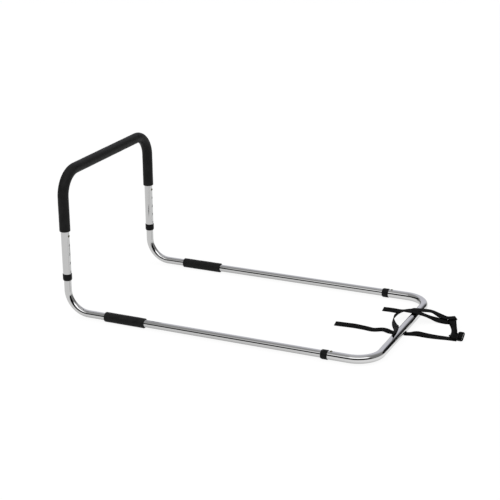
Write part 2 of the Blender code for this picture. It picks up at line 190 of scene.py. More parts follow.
def lobe(tree, direction, azimuth, elevation, low, high):
    """How near a direction of the room lies to one azimuth and elevation, in degrees."""
    azimuth, elevation = math.radians(azimuth), math.radians(elevation)
    node = tree.nodes.new("ShaderNodeVectorMath")
    node.operation = "DOT_PRODUCT"
    tree.links.new(direction, node.inputs[0])
    node.inputs[1].default_value = (math.cos(azimuth) * math.cos(elevation),
                                    math.sin(azimuth) * math.cos(elevation), math.sin(elevation))
    return band(tree, node.outputs["Value"], low, high)


def mix_colour(tree, share, first, second):
    node = tree.nodes.new("ShaderNodeMix")
    node.data_type = "RGBA"
    tree.links.new(share, node.inputs["Factor"])
    colours = [socket for socket in node.inputs if socket.type == "RGBA"]
    for socket, value in zip(colours, (first, second)):
        if isinstance(value, tuple):
            socket.default_value = (*value, 1.0)
        else:
            tree.links.new(value, socket)
    return [socket for socket in node.outputs if socket.type == "RGBA"][0]


def make_world():
    """White behind the object, an even light for soft shading, and for polished metal a room
    with a dark band above the floor and a grey ceiling."""
    world = bpy.data.worlds.new("studio")
    bpy.context.scene.world = world
    tree = node_tree(world)
    out = tree.nodes.new("ShaderNodeOutputWorld")
    path = tree.nodes.new("ShaderNodeLightPath")
    place = tree.nodes.new("ShaderNodeTexCoord")
    split = tree.nodes.new("ShaderNodeSeparateXYZ")
    tree.links.new(place.outputs["Generated"], split.inputs[0])
    across = place.outputs["Generated"]
    bright = lobe(tree, across, 110, 30, 0.72, 0.93)
    spot = lobe(tree, across, -113, 45, math.cos(math.radians(11)), math.cos(math.radians(7)))
    level = lobe(tree, across, 118, 0, 0.55, 0.85)
    rise = band(tree, split.outputs["Z"], 0.00, 0.03)
    front = lobe(tree, across, -62, 30, 0.69, 0.78)
    fall = band(tree, math_node(tree, "SUBTRACT", split.outputs["Z"],
                                math_node(tree, "MULTIPLY", front, 0.13)), 0.50, 0.43)
    ring = math_node(tree, "MULTIPLY", math_node(tree, "MULTIPLY", rise, fall),
                     math_node(tree, "SUBTRACT", 1.0, level))
    sky = mix_colour(tree, bright, SKY_GREY, SKY_BRIGHT)
    sky = mix_colour(tree, spot, sky, SKY_SPOT)
    strip = math_node(tree, "MULTIPLY", band(tree, split.outputs["Z"], 0.45, 0.49),
                      band(tree, split.outputs["Z"], 0.90, 0.84))
    strip = math_node(tree, "MULTIPLY", strip, front)
    sky = mix_colour(tree, strip, sky, SKY_STRIP)
    sky = mix_colour(tree, band(tree, split.outputs["Z"], 0.93, 0.97), sky, SKY_TOP)
    room = mix_colour(tree, ring, sky, SKY_DARK)
    room = mix_colour(tree, lobe(tree, across, 15, 25, 0.82, 0.93), room, SKY_DIM)
    glossy = add_node(tree, "ShaderNodeBackground", in_Strength=1.0)
    tree.links.new(room, glossy.inputs["Color"])
    even = add_node(tree, "ShaderNodeBackground", in_Strength=1.0)
    tree.links.new(ramp(tree, split.outputs["Z"], ((0.0, 0.7), (1.0, 2.3))), even.inputs["Color"])
    white = add_node(tree, "ShaderNodeBackground", in_Strength=1.0)
    white.inputs["Color"].default_value = (1, 1, 1, 1)
    first = tree.nodes.new("ShaderNodeMixShader")
    tree.links.new(path.outputs["Is Glossy Ray"], first.inputs[0])
    tree.links.new(even.outputs[0], first.inputs[1])
    tree.links.new(glossy.outputs[0], first.inputs[2])
    second = tree.nodes.new("ShaderNodeMixShader")
    tree.links.new(path.outputs["Is Camera Ray"], second.inputs[0])
    tree.links.new(first.outputs[0], second.inputs[1])
    tree.links.new(white.outputs[0], second.inputs[2])
    tree.links.new(second.outputs[0], out.inputs["Surface"])


def make_floor():
    mesh = bpy.data.meshes.new("floor")
    size = 30.0
    mesh.from_pydata([(-size, -size, 0), (size, -size, 0), (size, size, 0), (-size, size, 0)],
                     [], [(0, 1, 2, 3)])
    floor = bpy.data.objects.new("floor", mesh)
    bpy.context.scene.collection.objects.link(floor)
    floor.location.z = -0.0001
    material = bpy.data.materials.new("pale_floor")
    tree = node_tree(material)
    out = tree.nodes.new("ShaderNodeOutputMaterial")
    path = tree.nodes.new("ShaderNodeLightPath")
    diffuse = tree.nodes.new("ShaderNodeBsdfDiffuse")
    diffuse.inputs["Color"].default_value = (0.60, 0.60, 0.60, 1)
    # Seen in reflections the floor glows with painted light: a brighter painted pool of light over
    # x 0.1 to 0.5 m near the middle, and a painted contact shadow where ambient occlusion finds
    # the object close by.
    glow = tree.nodes.new("ShaderNodeEmission")
    near = add_node(tree, "ShaderNodeAmbientOcclusion", in_Distance=0.03)
    where = tree.nodes.new("ShaderNodeTexCoord").outputs["Object"]
    split = tree.nodes.new("ShaderNodeSeparateXYZ")
    tree.links.new(where, split.inputs[0])
    painted_light_pool = math_node(tree, "MULTIPLY", band(tree, split.outputs["X"], 0.1, 0.5),
                     band(tree, math_node(tree, "ABSOLUTE", split.outputs["Y"]), 0.6, 0.35))
    level = math_node(tree, "ADD", 0.80, math_node(tree, "MULTIPLY", painted_light_pool, 0.25))
    shade = ramp(tree, near.outputs["AO"], ((0.2, 0.62), (0.9, 1.0)))
    tree.links.new(math_node(tree, "MULTIPLY", level, shade), glow.inputs["Strength"])
    mix = tree.nodes.new("ShaderNodeMixShader")
    tree.links.new(path.outputs["Is Glossy Ray"], mix.inputs[0])
    tree.links.new(diffuse.outputs[0], mix.inputs[1])
    tree.links.new(glow.outputs[0], mix.inputs[2])
    white = add_node(tree, "ShaderNodeEmission", in_Strength=1.0)
    pale = tree.nodes.new("ShaderNodeMixShader")
    tree.links.new(math_node(tree, "MULTIPLY", path.outputs["Is Camera Ray"], 0.92),
                   pale.inputs[0])
    tree.links.new(mix.outputs[0], pale.inputs[1])
    tree.links.new(white.outputs[0], pale.inputs[2])
    tree.links.new(pale.outputs[0], out.inputs["Surface"])
    mesh.materials.append(material)


def make_light(name, place, target, size, power):
    data = bpy.data.lights.new(name, "AREA")
    data.shape = "RECTANGLE"
    data.size, data.size_y = size
    data.energy = power
    light = bpy.data.objects.new(name, data)
    bpy.context.scene.collection.objects.link(light)
    light.location = place
    light.visible_glossy = False
    light.rotation_euler = (Vector(target) - Vector(place)).to_track_quat("-Z", "Y").to_euler()


def make_studio():
    make_world()
    make_floor()
    make_light("key", (-1.6, -2.6, 3.4), (-0.1, 0.0, 0.1), (1.2, 1.2), 55)
    make_light("fill", (2.6, 1.6, 2.8), (0.0, 0.0, 0.1), (1.0, 1.6), 25)
    view = bpy.context.scene.view_settings
    view.view_transform = "Standard"


# ---------------------------------------------------------------- materials
def surface(name, colour, metallic, roughness, **constants):
    """A principled material and its tree; the colour and roughness are wired in by the caller."""
    material = bpy.data.materials.new(name)
    tree = node_tree(material)
    out = tree.nodes.new("ShaderNodeOutputMaterial")
    shader = tree.nodes.new("ShaderNodeBsdfPrincipled")
    shader.inputs["Base Color"].default_value = (*colour, 1)
    shader.inputs["Metallic"].default_value = metallic
    shader.inputs["Roughness"].default_value = roughness
    for key, value in constants.items():
        shader.inputs[key.replace("_", " ")].default_value = value
    tree.links.new(shader.outputs[0], out.inputs["Surface"])
    return material, tree, shader


def noise(tree, vector, scale, detail=3.0, roughness=0.55):
    node = add_node(tree, "ShaderNodeTexNoise", in_Scale=scale, in_Detail=detail,
                    in_Roughness=roughness)
    tree.links.new(vector, node.inputs["Vector"])
    return node.outputs["Fac"]


def object_vector(tree, scale=(1, 1, 1)):
    place = tree.nodes.new("ShaderNodeTexCoord")
    mapping = tree.nodes.new("ShaderNodeMapping")
    mapping.inputs["Scale"].default_value = scale
    tree.links.new(place.outputs["Object"], mapping.inputs["Vector"])
    return mapping.outputs["Vector"]


def uv_vector(tree, scale=(1, 1, 1)):
    place = tree.nodes.new("ShaderNodeUVMap")
    place.uv_map = "UVMap"
    mapping = tree.nodes.new("ShaderNodeMapping")
    mapping.inputs["Scale"].default_value = scale
    tree.links.new(place.outputs["UV"], mapping.inputs["Vector"])
    return mapping.outputs["Vector"]


def bump(tree, shader, height, distance, strength=1.0, before=None):
    node = add_node(tree, "ShaderNodeBump", in_Strength=strength, in_Distance=distance)
    tree.links.new(height, node.inputs["Height"])
    if before:
        tree.links.new(before, node.inputs["Normal"])
    tree.links.new(node.outputs["Normal"], shader.inputs["Normal"])
    return node.outputs["Normal"]


def make_chrome():
    """Polished plating with faint draw lines along the tube."""
    material, tree, shader = surface("chrome_plate", (0.66, 0.66, 0.68), 1.0, 0.06)
    lines = noise(tree, uv_vector(tree, (1.2, 420, 1)), 1.0, 4.0, 0.6)
    cloud = noise(tree, object_vector(tree), 14.0)
    tree.links.new(ramp(tree, lines, ((0.25, (0.60, 0.60, 0.60)), (0.75, (0.71, 0.71, 0.705)))),
                   shader.inputs["Base Color"])
    both = math_node(tree, "ADD", math_node(tree, "MULTIPLY", lines, 0.6),
                     math_node(tree, "MULTIPLY", cloud, 0.4))
    tree.links.new(ramp(tree, both, ((0.3, 0.015), (0.7, 0.045))), shader.inputs["Roughness"])
    bump(tree, shader, lines, 0.00001, 0.5)
    return material


def make_foam(name, tint, sheen):
    """Closed-cell foam with a thin skin: fine pores and a slow unevenness."""
    material, tree, shader = surface(name, (tint, tint, tint), 0.0, 0.5, Sheen_Weight=sheen,
                                     Sheen_Roughness=0.4, Specular_IOR_Level=0.12)
    where = object_vector(tree)
    slow = noise(tree, where, 55.0, 2.0)
    pores = noise(tree, where, 1400.0, 2.0, 0.7)
    tree.links.new(ramp(tree, slow, ((0.3, tint * 0.75), (0.7, tint * 1.3))),
                   shader.inputs["Base Color"])
    tree.links.new(ramp(tree, slow, ((0.3, 0.44), (0.7, 0.60))), shader.inputs["Roughness"])
    first = bump(tree, shader, slow, 0.0012, 0.5)
    bump(tree, shader, pores, 0.00015, 0.5, first)
    return material


def make_plastic():
    material, tree, shader = surface("moulded_plastic", (0.006, 0.006, 0.006), 0.0, 0.35,
                                     Specular_IOR_Level=0.09)
    grain = noise(tree, object_vector(tree), 900.0, 2.0)
    cloud = noise(tree, object_vector(tree), 60.0)
    tree.links.new(ramp(tree, cloud, ((0.3, 0.003), (0.7, 0.006))), shader.inputs["Base Color"])
    tree.links.new(ramp(tree, cloud, ((0.3, 0.30), (0.7, 0.42))), shader.inputs["Roughness"])
    bump(tree, shader, grain, 0.00004, 0.5)
    return material


def make_metal(name, low, high, rough):
    material, tree, shader = surface(name, low, 1.0, rough)
    cloud = noise(tree, object_vector(tree), 400.0, 3.0)
    tree.links.new(ramp(tree, cloud, ((0.3, low), (0.7, high))), shader.inputs["Base Color"])
    tree.links.new(ramp(tree, cloud, ((0.3, rough * 0.8), (0.7, rough * 1.2))),
                   shader.inputs["Roughness"])
    return material


def make_webbing():
    """Plain woven nylon webbing: ribs across the strap, and warp threads along it."""
    material, tree, shader = surface("woven_webbing", (0.005, 0.005, 0.005), 0.0, 0.7,
                                     Sheen_Weight=0.005, Sheen_Roughness=0.35,
                                     Specular_IOR_Level=0.02)
    place = tree.nodes.new("ShaderNodeUVMap")
    place.uv_map = "UVMap"
    split = tree.nodes.new("ShaderNodeSeparateXYZ")
    tree.links.new(place.outputs["UV"], split.inputs[0])
    along, across = split.outputs["X"], split.outputs["Y"]
    rib_pitch, thread_pitch = 0.0019, 0.0016
    column = math_node(tree, "FLOOR", math_node(tree, "DIVIDE", across, thread_pitch))
    shift = math_node(tree, "MULTIPLY", math_node(tree, "MODULO", column, 2.0), math.pi)
    wave = math_node(tree, "ADD", math_node(tree, "MULTIPLY", along, math.tau / rib_pitch), shift)
    rib = math_node(tree, "ADD", math_node(tree, "MULTIPLY", math_node(tree, "SINE", wave), 0.5),
                    0.5)
    thread = math_node(tree, "ABSOLUTE", math_node(
        tree, "SINE", math_node(tree, "MULTIPLY", across, math.pi / thread_pitch)))
    weave = math_node(tree, "MULTIPLY", rib, thread)
    fuzz = noise(tree, uv_vector(tree, (1, 1, 1)), 2500.0, 2.0)
    height = math_node(tree, "ADD", weave, math_node(tree, "MULTIPLY", fuzz, 0.3))
    # Painted sheen: the middle of each face of the webbing is coloured lighter and its edges
    # darker, standing in for light on the strap's crowned faces.
    side = math_node(tree, "MODULO", math_node(tree, "DIVIDE", across, STRAP_WIDTH), 1.0)
    side = math_node(tree, "ABSOLUTE", math_node(tree, "SUBTRACT", side, 0.5))
    painted_sheen_middle = ramp(tree, weave, ((0.0, 0.0020), (1.0, 0.0080)))
    edge = ramp(tree, weave, ((0.0, 0.0006), (1.0, 0.0018)))
    tree.links.new(mix_colour(tree, band(tree, side, 0.22, 0.38), painted_sheen_middle, edge),
                   shader.inputs["Base Color"])
    tree.links.new(ramp(tree, fuzz, ((0.3, 0.60), (0.7, 0.80))), shader.inputs["Roughness"])
    bump(tree, shader, height, 0.00022, 0.6)
    return material


# ---------------------------------------------------------------- shapes
def rounded_path(corners, largest_radius, steps, share=None):
    """Points along straight runs whose corners are arcs."""
    corners = [Vector(corner) for corner in corners]
    path = [corners[0]]
    for before, corner, after in zip(corners, corners[1:], corners[2:]):
        into = (corner - before).normalized()
        out = (after - corner).normalized()
        turn = into.angle(out)
        radius = largest_radius
        if share:
            run = min((corner - before).length, (after - corner).length)
            radius = min(radius, share * run / math.tan(turn / 2))
        inward = (out - into * math.cos(turn)).normalized()
        centre = corner - into * radius * math.tan(turn / 2) + inward * radius
        for step in range(steps + 1):
            angle = turn * step / steps
            path.append(centre - inward * radius * math.cos(angle)
                        + into * radius * math.sin(angle))
    path.append(corners[-1])
    return path


def add_piece(name, mesh, material):
    piece = bpy.data.objects.new(name, mesh)
    bpy.context.scene.collection.objects.link(piece)
    mesh.materials.append(material)
    return piece


def smooth(mesh, angle=35):
    """Smooth shading, but for edges sharper than an angle in degrees."""
    mesh.shade_smooth()
    mesh.set_sharp_from_angle(angle=math.radians(angle))


def uv_mesh(name, verts, faces, uvs, angle=35):
    """A smooth mesh with outward normals and one UV pair for each corner of its faces."""
    mesh = bpy.data.meshes.new(name)
    mesh.from_pydata([tuple(vert) for vert in verts], [], faces)
    layer = mesh.uv_layers.new(name="UVMap")
    layer.data.foreach_set("uv", [value for pair in uvs for value in pair])
    shape = bmesh.new()
    shape.from_mesh(mesh)
    bmesh.ops.recalc_face_normals(shape, faces=shape.faces)
    shape.to_mesh(mesh)
    shape.free()
    smooth(mesh, angle)
    return mesh


class Line:
    """A planar centre line that can be asked for a place and its frame at any distance."""

    def __init__(self, points, normal):
        self.points = np.array([tuple(point) for point in points])
        runs = np.linalg.norm(np.diff(self.points, axis=0), axis=1)
        self.along = np.concatenate(([0.0], np.cumsum(runs)))
        self.length = self.along[-1]
        ahead = np.zeros_like(self.points)
        heading = np.diff(self.points, axis=0) / runs[:, None]
        ahead[:-1] += heading
        ahead[1:] += heading
        self.ahead = ahead / np.linalg.norm(ahead, axis=1)[:, None]
        self.normal = np.array(normal, float)

    def at(self, distance):
        place = np.array([np.interp(distance, self.along, self.points[:, axis])
                          for axis in range(3)])
        ahead = np.array([np.interp(distance, self.along, self.ahead[:, axis])
                          for axis in range(3)])
        ahead /= np.linalg.norm(ahead)
        side = np.cross(self.normal, ahead)
        return place, ahead, side / np.linalg.norm(side)

    def run(self, start, stop, radius):
        """Stations at one radius, at every bend of the line between two distances."""
        low, high = min(start, stop), max(start, stop)
        inner = [value for value in self.along if low + 1e-5 < value < high - 1e-5]
        if stop < start:
            inner.reverse()
        return [(value, radius) for value in (start, *inner, stop)]


def skin(name, line, stations, around=AROUND, closed=True, wobble=None):
    """A surface round a line through (distance, radius) stations, with a UV map in metres."""
    verts = []
    for distance, radius in stations:
        place, ahead, side = line.at(distance)
        for index in range(around):
            angle = math.tau * index / around
            r = radius if wobble is None else radius + wobble(distance, angle, radius)
            verts.append(place + (side * math.cos(angle) + line.normal * math.sin(angle)) * r)
    count = len(stations)
    u = [0.0]
    for (a, ra), (b, rb) in zip(stations, stations[1:] + stations[:1]):
        u.append(u[-1] + math.hypot(b - a, rb - ra))
    widest = max(radius for _, radius in stations)
    faces, uvs = [], []
    for ring in range(count if closed else count - 1):
        after = (ring + 1) % count
        for index in range(around):
            ahead = (index + 1) % around
            faces.append((ring * around + index, ring * around + ahead, after * around + ahead,
                          after * around + index))
            low, high = (math.tau * widest * value / around for value in (index, index + 1))
            uvs += [(u[ring], low), (u[ring], high), (u[ring + 1], high), (u[ring + 1], low)]
    return uv_mesh(name, verts, faces, uvs)


def rounding(distance, radius, size, quarter, steps=5):
    """Stations that round an end: quarter 0 rises from the face to the skin, and 1 falls again."""
    result = []
    for step in range(steps + 1):
        angle = math.pi / 2 * step / steps
        rise = size * math.sin(angle)
        run = size * (1 - math.cos(angle))
        if quarter == 0:
            result.append((distance + run, radius - size + rise))
        else:
            result.append((distance - run, radius - size + rise))
    if quarter:
        result.reverse()
    return result


def cutter(radius, place, turn, reach):
    """A round cutter from a tube's axis out through one wall."""
    mesh = bpy.data.meshes.new("cutter")
    shape = bmesh.new()
    bmesh.ops.create_cone(shape, cap_ends=True, segments=40, radius1=radius, radius2=radius,
                          depth=reach)
    bmesh.ops.translate(shape, verts=shape.verts, vec=(0, 0, OUTER_R / 3 + reach / 2))
    shape.to_mesh(mesh)
    shape.free()
    item = bpy.data.objects.new("cutter", mesh)
    bpy.context.scene.collection.objects.link(item)
    item.location = place
    item.rotation_euler = turn
    return item


def cut_holes(piece, cutters):
    for tool in cutters:
        modifier = piece.modifiers.new("hole", "BOOLEAN")
        modifier.operation = "DIFFERENCE"
        modifier.solver = "EXACT"
        modifier.object = tool
    bpy.context.view_layer.update()
    evaluated = piece.evaluated_get(bpy.context.evaluated_depsgraph_get())
    mesh = bpy.data.meshes.new_from_object(evaluated)
    piece.modifiers.clear()
    old = piece.data
    piece.data = mesh
    mesh.name = piece.name
    bpy.data.meshes.remove(old)
    for tool in cutters:
        bpy.data.meshes.remove(tool.data)


def round_normals(mesh, line, radius):
    """Exact round shading on a tube's outside, also beside its holes."""
    co = np.array([vert.co for vert in mesh.vertices])
    start, end = line.points[:-1], line.points[1:]
    run = end - start
    best = np.full(len(co), 9.0)
    nearest = np.zeros_like(co)
    for a, d in zip(start, run):
        t = np.clip(((co - a) @ d) / (d @ d), 0, 1)
        foot = a + t[:, None] * d
        gap = np.linalg.norm(co - foot, axis=1)
        closer = gap < best
        best[closer], nearest[closer] = gap[closer], foot[closer]
    outward = (co - nearest) / best[:, None]
    on_skin = np.abs(best - radius) < 0.00012
    normals = [(0.0, 0.0, 0.0)] * len(mesh.loops)
    for face in mesh.polygons:
        if all(on_skin[vert] for vert in face.vertices):
            for loop in face.loop_indices:
                vert = mesh.loops[loop].vertex_index
                if face.normal.dot(Vector(outward[vert])) > 0.8:
                    normals[loop] = tuple(outward[vert])
    mesh.normals_split_custom_set(normals)


def tube(name, points, normal, radius, material, cutters):
    line = Line(points, normal)
    stations = line.run(0, line.length, radius) + line.run(line.length, 0, radius - WALL)
    piece = add_piece(name, skin(name, line, stations), material)
    if cutters:
        cut_holes(piece, cutters)
        smooth(piece.data)
        round_normals(piece.data, line, radius)
    return piece


OUT_X = (0, math.pi / 2, 0)
OUT_Z = (0, 0, 0)
REACH = 0.02


def make_rails(chrome):
    for side, sign in SIDES:
        y = sign * HALF
        points = rounded_path(((HANDLE_X, y, RAIL_Z + LEG_TOP), (HANDLE_X, y, RAIL_Z),
                               (HANDLE_X + RAIL_LENGTH, y, RAIL_Z)), LEG_BEND_R, BEND_STEPS)
        hole_r = BUTTON_R + BUTTON_HOLE_PLAY
        holes = (cutter(hole_r, (HANDLE_X, y, RAIL_Z + LEG_BUTTON), OUT_X, REACH),
                 cutter(hole_r, (HANDLE_X + LOOP_BUTTON, y, RAIL_Z), OUT_Z, REACH))
        piece = tube(f"rail_tube_{side}", points, (0, 1, 0), INNER_R, chrome,
                     holes)
        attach(piece, "leg_rails")
        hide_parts(f"leg_rail_{side}")


def make_handle(chrome):
    foot = RAIL_Z + HANDLE_FOOT + TUBE_MOUTH
    top = RAIL_Z + HANDLE_HEIGHT
    points = rounded_path(((HANDLE_X, -HALF, foot), (HANDLE_X, -HALF, top),
                           (HANDLE_X, HALF, top), (HANDLE_X, HALF, foot)), HANDLE_BEND_R,
                          BEND_STEPS)
    holes = [cutter(HOLE_R, (HANDLE_X, sign * HALF, RAIL_Z + LEG_BUTTON - HOLE_PITCH * row),
                    OUT_X, REACH) for _, sign in SIDES for row in range(HOLE_COUNT)]
    piece = tube("handle_frame", points, (1, 0, 0), OUTER_R, chrome, holes)
    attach(piece, "handle")
    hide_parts("handle_tube")


def make_loop(chrome):
    mouth = HANDLE_X + LOOP_FOOT + TUBE_MOUTH
    points = rounded_path(((mouth, -HALF, RAIL_Z), (BAR_X, -HALF, RAIL_Z), (BAR_X, HALF, RAIL_Z),
                           (mouth, HALF, RAIL_Z)), LOOP_BEND_R, BEND_STEPS)
    holes = [cutter(HOLE_R, (HANDLE_X + LOOP_BUTTON, sign * HALF, RAIL_Z), OUT_Z, REACH)
             for _, sign in SIDES]
    piece = tube("loop_frame", points, (0, 0, 1), OUTER_R, chrome, holes)
    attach(piece, "loop")
    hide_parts("end_loop")


def lumps(seed, size, waves):
    """A smooth unevenness over a sleeve, from a few seeded waves."""
    rng = np.random.default_rng(seed)
    rows = [(rng.uniform(*waves), rng.integers(0, 4), rng.uniform(0, math.tau),
             rng.uniform(0.4, 1.0)) for _ in range(9)]
    total = sum(row[3] for row in rows)

    def wobble(distance, angle, radius):
        value = sum(weight * math.sin(math.tau * distance / wave + phase + turns * angle)
                    for wave, turns, phase, weight in rows)
        return size * (value / total - 0.4)
    return wobble


def make_grip(foam):
    foot = RAIL_Z + GRIP_FOOT
    top = RAIL_Z + HANDLE_HEIGHT
    corners = ((HANDLE_X, -HALF, foot), (HANDLE_X, -HALF, top), (HANDLE_X, HALF, top),
               (HANDLE_X, HALF, foot))
    line = Line(rounded_path(corners, HANDLE_BEND_R, 48), (1, 0, 0))
    extra = np.arange(0.004, line.length, 0.004)
    line_along = sorted(set(np.round(np.concatenate((line.along, extra)), 6)))
    inside = OUTER_R + GAP
    length = line.length
    size = GRIP_ROUND
    middle = [(value, GRIP_R) for value in line_along if size < value < length - size]
    stations = ([(0.0, inside)] + rounding(0.0, GRIP_R, size, 0) + middle
                + rounding(length, GRIP_R, size, 1) + line.run(length, 0.0, inside))
    uneven = lumps(7, 0.00022, (0.03, 0.12))
    mesh = skin("grip_sleeve", line, stations, FOAM_AROUND,
                wobble=lambda d, a, r: uneven(d, a, r) if r > inside + 0.0005 else 0.0)
    piece = add_piece("grip_sleeve", mesh, foam)
    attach(piece, "handle")
    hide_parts("foam_grip")


def make_sleeves(foam):
    for side, sign in SIDES:
        start = HANDLE_X + SLEEVE_START
        y = sign * HALF
        line = Line([(start + SLEEVE_LENGTH * step / 60, y, RAIL_Z) for step in range(61)],
                    (0, 0, 1))
        inside = INNER_R + GAP
        size = SLEEVE_ROUND
        middle = [(value, SLEEVE_R) for value in line.along
                  if size < value < SLEEVE_LENGTH - size]
        stations = ([(0.0, inside)] + rounding(0.0, SLEEVE_R, size, 0) + middle
                    + rounding(SLEEVE_LENGTH, SLEEVE_R, size * 0.6, 1)
                    + [(SLEEVE_LENGTH, inside)])
        uneven = lumps(11 + sign, 0.00025, (0.02, 0.08))
        mesh = skin(f"foam_sleeve_{side}", line, stations, FOAM_AROUND,
                    wobble=lambda d, a, r: uneven(d, a, r) if r > inside + 0.0005 else 0.0)
        piece = add_piece(f"foam_sleeve_{side}", mesh, foam)
        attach(piece, "leg_rails")
        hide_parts(f"rail_sleeve_{side}")


def make_collar(name, node, start, ahead, normal, plastic, body):
    """A moulded end for an outer tube, with its small end at the start."""
    start, ahead = Vector(start), Vector(ahead)
    line = Line([start, start + ahead * COLLAR_LENGTH], normal)
    outer_bore = OUTER_R + 0.00012
    inner_bore = INNER_R + GAP
    stations = [(0.0, inner_bore)]
    stations += [(0.0, NOSE_R - 0.0004), (0.0001, NOSE_R - 0.0001), (0.0004, NOSE_R)]
    stations += [(COLLAR_LIP * 0.45, NOSE_R + (COLLAR_R - NOSE_R) * 0.62),
                 (COLLAR_LIP * 0.8, NOSE_R + (COLLAR_R - NOSE_R) * 0.93),
                 (COLLAR_LIP * 1.1, COLLAR_R)]
    stations += rounding(COLLAR_LENGTH, COLLAR_R, 0.0006, 1)
    stations += [(COLLAR_LENGTH, outer_bore), (COLLAR_LIP, outer_bore), (COLLAR_LIP, inner_bore)]
    piece = add_piece(name, skin(name, line, stations), plastic)
    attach(piece, body)
    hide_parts(node)


def make_collars(plastic):
    for side, sign in SIDES:
        y = sign * HALF
        make_collar(f"upright_collar_{side}", f"handle_collar_{side}",
                    (HANDLE_X, y, RAIL_Z + HANDLE_FOOT), (0, 0, 1), (1, 0, 0), plastic, "handle")
        make_collar(f"loop_collar_{side}", f"base_collar_{side}",
                    (HANDLE_X + LOOP_FOOT, y, RAIL_Z), (1, 0, 0), (0, 0, 1), plastic, "loop")


def make_button(name, node, place, ahead, normal, metal, body):
    place, ahead = Vector(place), Vector(ahead)
    bore = INNER_R - WALL
    seat = math.sqrt((bore * FLAT) ** 2 - BUTTON_FLANGE_R ** 2) - GAP
    tip = OUTER_R + BUTTON_STANDOUT
    line = Line([place, place + ahead * tip], normal)
    stations = [(seat - BUTTON_FLANGE_T, 0.0), (seat - BUTTON_FLANGE_T, BUTTON_FLANGE_R),
                (seat, BUTTON_FLANGE_R), (seat, BUTTON_R)]
    dome = 0.0019
    for step in range(9):
        angle = math.pi / 2 * step / 8
        stations.append((tip - dome + dome * math.sin(angle),
                         max(0.0, BUTTON_R * math.cos(angle) ** 0.75) if step < 8 else 0.0))
    mesh = skin(name, line, stations, 40, closed=False)
    shape = bmesh.new()
    shape.from_mesh(mesh)
    bmesh.ops.remove_doubles(shape, verts=shape.verts, dist=0.000001)
    shape.to_mesh(mesh)
    shape.free()
    smooth(mesh)
    piece = add_piece(name, mesh, metal)
    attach(piece, body)
    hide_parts(node)


def make_buttons(metal):
    for side, sign in SIDES:
        y = sign * HALF
        make_button(f"height_button_{side}", f"leg_button_{side}",
                    (HANDLE_X, y, RAIL_Z + LEG_BUTTON), (1, 0, 0), (0, 0, 1), metal,
                    f"leg_lock_{side}")
        make_button(f"loop_button_{side}", f"base_button_{side}",
                    (HANDLE_X + LOOP_BUTTON, y, RAIL_Z), (0, 0, 1), (1, 0, 0), metal,
                    f"base_lock_{side}")


# ---------------------------------------------------------------- straps
BASE = np.array((BAR_X, 0.0, 0.0))

# Each row is x and y from the end bar, z from the floor, and how far the webbing's left edge
# stands up, in degrees. The webbing is folded flat from one run onto the next.
FLOOR = 0.0009
OVER_BAR = 0.0289
OVER_MAIN = 0.0309
MAIN_RUNS = (
    ((-0.209, -0.009, 0.0029, 8), (-0.150, -0.004, 0.0029, 8), (-0.112, -0.005, 0.0020, 4),
     (-0.088, -0.010, 0.0018, 3), (-0.058, 0.000, 0.0058, 3), (-0.036, -0.005, 0.0014, 0),
     (-0.020, -0.002, FLOOR, 0), (0.018, 0.005, FLOOR, 0), (0.038, 0.0105, 0.0042, 14),
     (0.070, 0.009, 0.0031, 9), (0.096, 0.011, 0.0022, 5), (0.130, 0.0175, 0.0010, 0),
     (0.1572, 0.020, FLOOR, 0)),
    ((0.1572, 0.020, 0.0031, 0), (0.1436, 0.020, 0.0031, 0)),
    ((0.1436, 0.020, 0.0053, 0), (0.1425, 0.037, 0.0078, -28), (0.1365, 0.062, 0.0117, -53),
     (0.129, 0.086, 0.0117, -56), (0.1175, 0.116, 0.0105, -44), (0.109, 0.137, 0.0050, -5),
     (0.0995, 0.156, 0.0041, 0)),
    ((0.0995, 0.156, 0.0062, 0), (0.1117, 0.1636, 0.0062, 0)),
    ((0.1117, 0.1636, 0.0083, 0), (0.0885, 0.149, 0.0081, 2), (0.064, 0.152, 0.0120, -6),
     (0.042, 0.147, 0.025, 0), (0.018, 0.132, OVER_BAR, 0), (-0.018, 0.125, OVER_BAR, 0),
     (-0.034, 0.138, 0.0192, -5), (-0.062, 0.153, 0.0045, -9), (-0.086, 0.159, 0.0031, -9),
     (-0.116, 0.157, 0.0029, -8)),
)
BAND_RUNS = (
    ((0.116, 0.140, FLOOR, 0), (0.104, 0.1355, 0.0018, -3), (0.090, 0.131, 0.0039, -13),
     (0.060, 0.128, 0.0070, -12), (0.020, 0.102, OVER_MAIN, 0), (-0.018, 0.107, OVER_MAIN, 0),
     (-0.040, 0.119, 0.0208, 18), (-0.0555, 0.100, 0.0145, 60), (-0.0545, 0.070, 0.0135, 77),
     (-0.0435, 0.040, 0.0135, 80), (-0.0295, 0.012, 0.0160, 80), (-0.0142, -0.0243, 0.0240, 68),
     (-0.0055, -0.046, 0.0334, 54), (0.000, -0.066, 0.0360, 50), (0.0035, -0.086, 0.0365, 45)),
)


def resampled(path, spacing, fewest=1):
    """Even places along a path, their distances, and the distance of each of its points."""
    points = np.array([tuple(point) for point in path])
    along = np.concatenate(([0.0], np.cumsum(np.linalg.norm(np.diff(points, axis=0), axis=1))))
    where = np.linspace(0, along[-1], max(fewest, int(along[-1] / spacing)) + 1)
    places = np.stack([np.interp(where, along, points[:, axis]) for axis in range(3)], 1)
    return places, where, along


def headings(places):
    ahead = np.gradient(places, axis=0)
    ahead /= np.linalg.norm(ahead, axis=1)[:, None]
    return ahead


